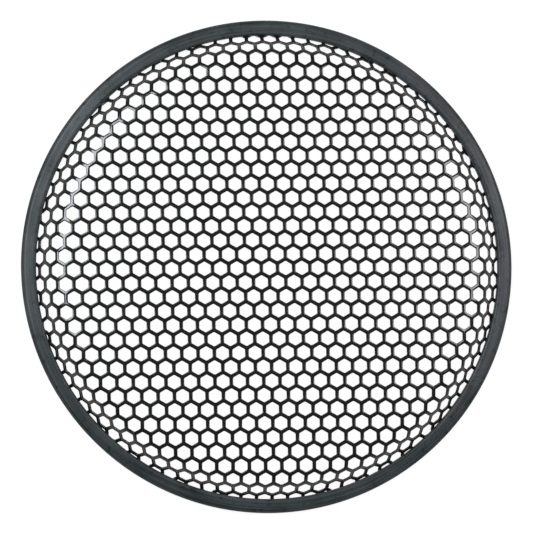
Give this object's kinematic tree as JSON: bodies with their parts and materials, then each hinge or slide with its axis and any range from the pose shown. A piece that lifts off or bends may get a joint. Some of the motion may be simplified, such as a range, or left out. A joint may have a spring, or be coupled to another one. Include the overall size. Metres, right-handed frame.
{
  "type": "loudspeaker waffle grille",
  "caption": "Round domed steel grille with a hexagonal hole pattern and a rubber edge trim, which protects a loudspeaker driver.",
  "frame": {"origin": "centre of the ring-shaped face that the grille rests on, under the rubber trim", "axes": "+Z out through the crown of the dome, +X along the rows of holes to within one degree"},
  "size_m": [0.311, 0.311, 0.0193],
  "materials": {
    "powder_coated_steel": "semi-gloss black powder coat with a fine texture",
    "edge_rubber": "matt slate-black extruded rubber with fine lengthwise lines"
  },
  "bodies": {
    "root": {"perforated_dome": "powder_coated_steel", "edge_trim": "edge_rubber"}
  },
  "joints": []
}
